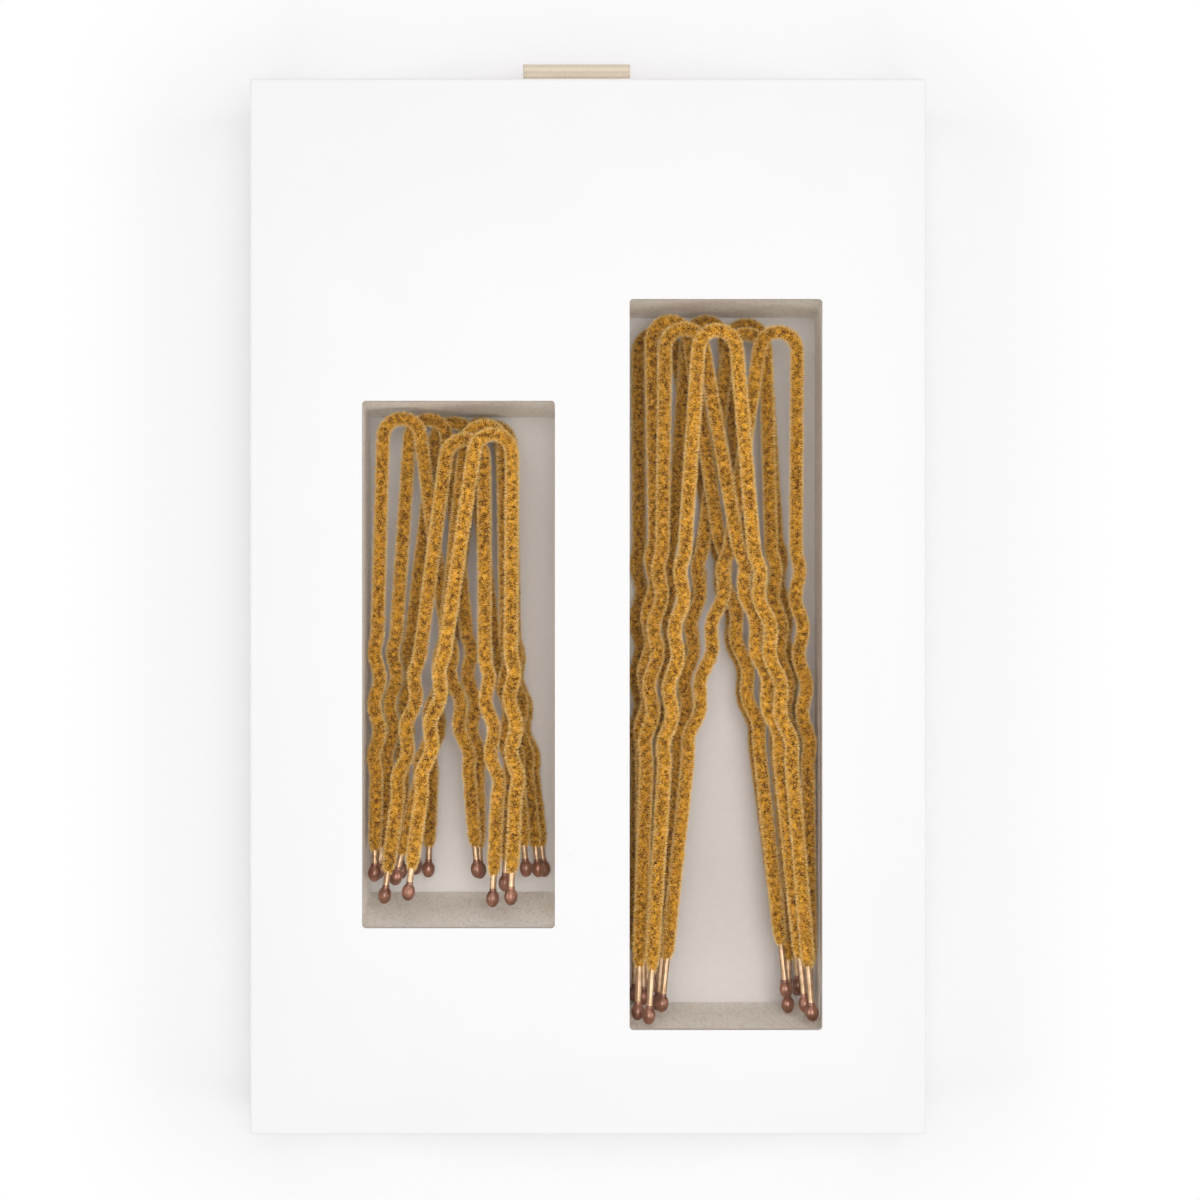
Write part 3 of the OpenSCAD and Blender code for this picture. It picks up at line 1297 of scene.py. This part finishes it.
def sweep(name: str, line: np.ndarray, height: float, radius: float, sides: int,
          swell: Callable[[float, float], float] | None = None) -> bpy.types.Object:
    """Sweeps a round section along a flat line.

    Args:
        name: The object's name.
        line: The middle line.
        height: Its height.
        radius: The section's radius.
        sides: Its sides, a multiple of four.
        swell: The radius' factor at a distance from the start and from the end.

    Returns:
        The tube with closed ends, as a mesh in millimetres.
    """
    curve = bpy.data.curves.new(name, "CURVE")
    curve.dimensions, curve.twist_mode = "3D", "Z_UP"
    curve.bevel_depth, curve.bevel_resolution = radius, sides // 4 * 2 - 2
    curve.use_fill_caps = True
    spline = curve.splines.new("POLY")
    spline.points.add(len(line) - 1)
    step = float(np.linalg.norm(line[1] - line[0]))
    for i, (point, (x, y)) in enumerate(zip(spline.points, line)):
        point.co = (x, y, height, 1.0)
        if swell is not None:
            point.radius = swell(i * step, (len(line) - 1 - i) * step)
    made = put(name, curve)
    graph = bpy.context.evaluated_depsgraph_get()
    mesh = bpy.data.meshes.new_from_object(made.evaluated_get(graph), depsgraph=graph)
    bpy.data.objects.remove(made)
    bm = bmesh.new()
    bm.from_mesh(mesh)
    tube = put(name, sealed(bm, mesh))
    mesh.shade_smooth()
    return tube


@dataclass
class FlockCoat:
    """The flock: an uneven skin with short fibres standing on it."""

    # The attribute of painted light: how far a point stands out, so that it is darker near the
    # skin and paler at the tips.
    PAINTED_LIGHT_REACH = "reach"
    SEED_SOCKET = "Socket_2"
    skin_r: float = 0.51
    skin_step: float = 0.2
    skin_sides: int = 16
    unevenness: float = 0.06
    swells: tuple[tuple[float, float], ...] = ((0.55, 2.3), (0.75, 6.1))
    # Painted shade on the skin, darker in its hollows, and painted light on its bulges.
    skin_painted_shade_reach: float = 0.15
    swell_painted_light_reach: float = 0.4
    fibre_l: float = 0.28
    fibre_r: float = 0.036
    shortest: float = 0.7
    longest: float = 1.2
    fibres_a_mm2: float = 74.0
    tilt: float = 0.22
    thin_end: float = 1.4
    thin_share: float = 0.55
    group: bpy.types.NodeTree | None = field(default=None, init=False)

    def fibres(self) -> bpy.types.NodeTree:
        """The geometry nodes that stand the fibres on the skin.

        Returns:
            The node group, which all the coats share.
        """
        if self.group is not None:
            return self.group
        self.group = bpy.data.node_groups.new("fibres", "GeometryNodeTree")
        for name, way, kind in (
            ("Geometry", "OUTPUT", "NodeSocketGeometry"),
            ("Geometry", "INPUT", "NodeSocketGeometry"),
            ("Seed", "INPUT", "NodeSocketInt"),
        ):
            self.group.interface.new_socket(name=name, in_out=way, socket_type=kind)
        mix = Recipe(self.group)
        skin = mix.add("NodeGroupInput", out="Geometry")
        seed = skin.beside("Seed")
        size = {"Radius Top": 0.0, "Radius Bottom": self.fibre_r, "Depth": self.fibre_l}
        cone = mix.add(
            "GeometryNodeMeshCone", {"fill_type": "NGON"}, {"Vertices": 3, **size}, out="Mesh"
        )
        _, _, height = mix.parts(mix.add("GeometryNodeInputPosition"))
        # Painted light along each fibre: darker at its root, paler at its tip.
        reach = height * (0.5 / self.fibre_l) + 0.5
        fibre = mix.add(
            "GeometryNodeStoreNamedAttribute", {"data_type": "FLOAT", "domain": "POINT"},
            {"Geometry": cone, "Name": self.PAINTED_LIGHT_REACH, "Value": reach},
        )
        spots = mix.add(
            "GeometryNodeDistributePointsOnFaces", {"distribute_method": "RANDOM"},
            {"Mesh": skin, "Density": self.fibres_a_mm2, "Seed": seed}, out="Points",
        )
        most = (self.tilt, self.tilt, math.pi)
        least = (-self.tilt, -self.tilt, -math.pi)
        lean = mix.add(
            "FunctionNodeRandomValue", {"data_type": "FLOAT_VECTOR"},
            {"Min": least, "Max": most, "Seed": seed},
        )
        turned = mix.add(
            "FunctionNodeRotateRotation", {"rotation_space": "LOCAL"},
            {"Rotation": spots.beside("Rotation"), "Rotate By": lean},
        )
        length = mix.add(
            "FunctionNodeRandomValue", {"data_type": "FLOAT"},
            {2: self.shortest, 3: self.longest}, out=1,
        )
        stood = mix.add(
            "GeometryNodeInstanceOnPoints",
            sockets={"Points": spots, "Instance": fibre, "Rotation": turned, "Scale": length},
        )
        real = mix.add("GeometryNodeRealizeInstances", sockets={0: stood})
        both = mix.add("GeometryNodeJoinGeometry", sockets={0: skin})
        mix.tree.links.new(real.socket, both.socket.node.inputs[0])
        mix.add("NodeGroupOutput", sockets={0: both})
        return self.group

    def ruffle(self, skin: bpy.types.Object) -> None:
        """Makes the skin uneven, and marks how far each point reaches, for painted shade in its
        hollows and painted light on its bulges.

        Args:
            skin: The skin.
        """
        mesh = skin.data
        places = np.zeros(len(mesh.vertices) * 3, np.float32)
        outward = places.copy()
        mesh.vertices.foreach_get("co", places)
        mesh.vertex_normals.foreach_get("vector", outward)
        swell = np.array([
            sum(height * noise.noise(Vector(here) * scale) for height, scale in self.swells)
            for here in places.reshape(-1, 3)
        ], np.float32)
        places += outward * np.repeat(swell * self.unevenness, 3)
        mesh.vertices.foreach_set("co", places)
        # Painted shade: the skin sits low on the ramp, lower in its hollows and higher on its
        # bulges.
        reach = mesh.attributes.new(self.PAINTED_LIGHT_REACH, "FLOAT", "POINT")
        reach.data.foreach_set("value", self.skin_painted_shade_reach + self.swell_painted_light_reach * swell)
        mesh.update()

    def build(self, name: str, line: np.ndarray, height: float, seed: int) -> bpy.types.Object:
        """Builds one coat.

        Args:
            name: The piece's name.
            line: The middle line of the coated wire.
            height: Its height.
            seed: The seed of its fibres.

        Returns:
            The coat, in millimetres.
        """
        def taper(from_start: float, from_end: float) -> float:
            """The thinned ends of the coat."""
            share = min(1.0, min(from_start, from_end) / self.thin_end)
            return self.thin_share + (1 - self.thin_share) * share * (2 - share)

        middle = evenly(line, self.skin_step)
        coat = sweep(name, middle, height, self.skin_r, self.skin_sides, taper)
        self.ruffle(coat)
        fibres = coat.modifiers.new("fibres", "NODES")
        fibres.node_group = self.fibres()
        fibres[self.SEED_SOCKET] = seed
        settle(coat)
        return coat


@dataclass
class Bead:
    """The dipped bead at a tip: an oval drop with a collar drawn up the wire."""

    steps: int = 20
    rings: int = 14
    shoulder: float = 0.82
    collar_r: float = 0.325
    collar_top: float = 0.95
    collar_rings: int = 4
    collar_curve: float = 2.2
    cap_h: float = 0.02

    def turned(self, pattern: PinPattern) -> bpy.types.Mesh:
        """One bead round the origin, with its collar upwards.

        Args:
            pattern: The hairpin's sizes.

        Returns:
            Its mesh.
        """
        a, b = pattern.bead_d / 2, pattern.bead_l / 2
        turns = np.linspace(0.0, math.pi * self.shoulder, self.rings)
        profile = [(a * math.sin(t), -b * math.cos(t)) for t in turns]
        r, z = profile[-1]
        for i in range(1, self.collar_rings + 1):
            up = i / self.collar_rings
            out = self.collar_r + (r - self.collar_r) * (1 - up) ** self.collar_curve
            profile.append((out, z + (self.collar_top - z) * up))
        profile.append((0.0, self.collar_top + self.cap_h))
        bm = bmesh.new()
        verts = [bm.verts.new((x, 0.0, z)) for x, z in profile]
        edges = [bm.edges.new(pair) for pair in zip(verts, verts[1:])]
        bmesh.ops.spin(
            bm, geom=[*verts, *edges], cent=(0, 0, 0), axis=(0, 0, 1), dvec=(0, 0, 0),
            angle=2 * math.pi, steps=self.steps, use_merge=True, use_duplicate=False,
        )
        return sealed(bm, bpy.data.meshes.new("bead"))

    def pair(
        self, name: str, pattern: PinPattern, line: np.ndarray, height: float
    ) -> bpy.types.Object:
        """The two beads of a hairpin.

        Args:
            name: The piece's name.
            pattern: The hairpin's sizes.
            line: The wire's middle line.
            height: Its height.

        Returns:
            The pair, in millimetres.
        """
        one = self.turned(pattern)
        bm = bmesh.new()
        for foot, before in ((line[0], line[4]), (line[-1], line[-5])):
            way = Vector((*(before - foot), 0.0))
            turn = Vector((0.0, 0.0, 1.0)).rotation_difference(way).to_matrix().to_4x4()
            bead = one.copy()
            bead.transform(Matrix.Translation((foot[0], foot[1], height)) @ turn)
            bm.from_mesh(bead)
        beads = as_object(bm, name)
        beads.data.shade_smooth()
        return beads


@dataclass
class HairpinPile:
    """One size of hairpin, piled in its well."""

    pattern: PinPattern
    coat: FlockCoat
    bead: Bead = field(default_factory=Bead)
    wire_step: float = 0.45
    wire_sides: int = 12

    def build(self) -> None:
        """Builds the pile from the bottom up."""
        p = self.pattern
        for number, place in enumerate(p.lies, start=1):
            height, line = p.height(number - 1), p.line(place)
            node = f"{p.size.value}_pin_{number}"
            name = f"{p.size.value}_hairpin_{number}"
            middle = evenly(line, self.wire_step)
            wire = sweep(f"{name}_core", middle, height, p.wire_d / 2, self.wire_sides)
            hand_over(wire, Body.TRAY, Slot.WIRE, f"{node}_wire")
            coated = trimmed(line, p.neck + p.bead_l / 2)
            coat = self.coat.build(f"{name}_flock", coated, height, p.first_seed + number)
            hand_over(coat, Body.TRAY, Slot.FLOCK, f"{node}_coat")
            beads = self.bead.pair(f"{name}_beads", p, line, height)
            hand_over(beads, Body.TRAY, Slot.TIPS, f"{node}_tips")


# Studio


@dataclass(frozen=True)
class SoftBox:
    """One lamp: where it stands, its side, and its share of the light on the box's face."""

    name: str
    place: Point
    size: float
    share: float

    def hang(self) -> None:
        """Hangs the lamp, turned to the box."""
        place = Vector(self.place)
        upright = place.normalized().z
        lamp = bpy.data.lights.new(self.name, "AREA")
        lamp.shape, lamp.size = "SQUARE", self.size
        lamp.energy = self.share / upright * math.pi**2 * place.length_squared
        made = put(self.name, lamp)
        made.location = place
        made.rotation_euler = (-place).to_track_quat("-Z", "Y").to_euler()


@dataclass
class Studio:
    """The pale floor, the soft light and the camera straight above the box."""

    px_a_mm: float = 10.83
    above_face: float = 250.0
    aim_x: float = 1.117
    aim_y: float = 0.609
    sensor: float = 36.0
    sky_share: float = 0.38
    floor_size: float = 3.0
    lamps: tuple[SoftBox, ...] = (
        SoftBox("key", place=(0.05, 0.03, 0.9), size=0.4, share=0.42),
        SoftBox("head", place=(0.0, 0.88, 0.55), size=0.5, share=0.05),
        SoftBox("foot", place=(0.0, -0.88, 0.55), size=0.5, share=0.07),
        SoftBox("left", place=(-0.86, 0.0, 0.55), size=0.5, share=0.13),
        SoftBox("right", place=(0.86, 0.0, 0.55), size=0.5, share=0.14),
    )

    def floor(self) -> None:
        """The paper that the box stands on."""
        bm = bmesh.new()
        bmesh.ops.create_grid(bm, x_segments=1, y_segments=1, size=self.floor_size / 2)
        floor = as_object(bm, "floor")
        floor.data.materials.append(StudioPaper().mix())

    def sky(self) -> None:
        """An even pale sky, white to the camera."""
        world = bpy.data.worlds.new("studio")
        bpy.context.scene.world = world
        world.use_nodes = True
        mix = Recipe(world.node_tree)
        seen = mix.seen()
        lit, white = (
            mix.add("ShaderNodeBackground", sockets={0: WHITE, 1: strength})
            for strength in (self.sky_share, 1.0)
        )
        mix.close(
            mix.add("ShaderNodeMixShader", sockets={0: seen, 1: lit, 2: white}),
            "ShaderNodeOutputWorld",
        )

    def camera(self) -> None:
        """The camera of the photograph."""
        data = bpy.data.cameras.new("camera")
        data.sensor_width = self.sensor
        data.lens = self.sensor * self.px_a_mm * self.above_face / PHOTO_PX
        data.clip_start, data.clip_end = 0.01, 20.0
        made = put("camera", data)
        made.location = Vector((self.aim_x, self.aim_y, PLAN.sleeve_h + self.above_face)) * MM
        bpy.context.scene.camera = made

    def build(self) -> None:
        """Builds the studio."""
        bpy.context.scene.view_settings.view_transform = "Standard"
        self.camera()
        self.floor()
        self.sky()
        for lamp in self.lamps:
            lamp.hang()
        log.info("studio: ready")


def main() -> None:
    """Builds the studio and then the box from the outside in."""
    logging.basicConfig(level=logging.INFO, format="%(message)s")
    Studio().build()
    Sleeve().build()
    dress_node("tray", Slot.TRAY)
    Insert().build()
    Ribbon().build()
    coat = FlockCoat()
    for pattern in (LONG, SHORT):
        HairpinPile(pattern, coat).build()


if __name__ == "__main__":
    main()
